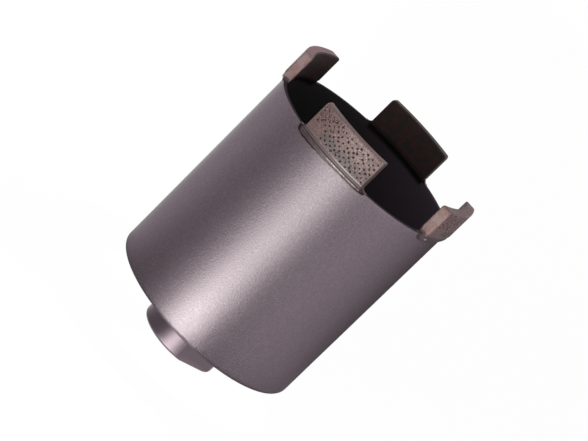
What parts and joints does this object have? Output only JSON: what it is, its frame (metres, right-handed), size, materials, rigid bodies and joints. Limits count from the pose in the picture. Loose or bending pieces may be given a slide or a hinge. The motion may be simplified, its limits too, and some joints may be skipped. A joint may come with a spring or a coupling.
{
  "type": "diamond core bit",
  "caption": "Dry-cutting diamond core bit: a thin welded steel cup with a rounded back, a threaded hub with wrench flats, and curved sintered segments brazed on its rim.",
  "frame": {"origin": "centre of the hub's end face, on which the bit stands", "axes": "+Z along the bit's axis, from the hub towards the cutting mouth; +X through the middle of the first segment"},
  "size_m": [0.068, 0.068, 0.0922],
  "materials": {
    "barrel_lacquer": "satin metallic lacquer with a fine grain, mauve grey outside and near black inside",
    "hub_lacquer": "smooth satin metallic lacquer over turned steel",
    "segment_matrix": "dull sintered bronze with small dark pits, and a plain foot band",
    "braze_lip": "smooth lacquered braze"
  },
  "bodies": {
    "root": {"barrel_tube": "barrel_lacquer", "back_plate": "barrel_lacquer", "girth_weld": "barrel_lacquer", "threaded_hub": "hub_lacquer", "hub_weld": "hub_lacquer", "segment_1": "segment_matrix", "segment_2": "segment_matrix", "segment_3": "segment_matrix", "segment_4": "segment_matrix", "braze_1": "braze_lip", "braze_2": "braze_lip", "braze_3": "braze_lip", "braze_4": "braze_lip"}
  },
  "joints": []
}
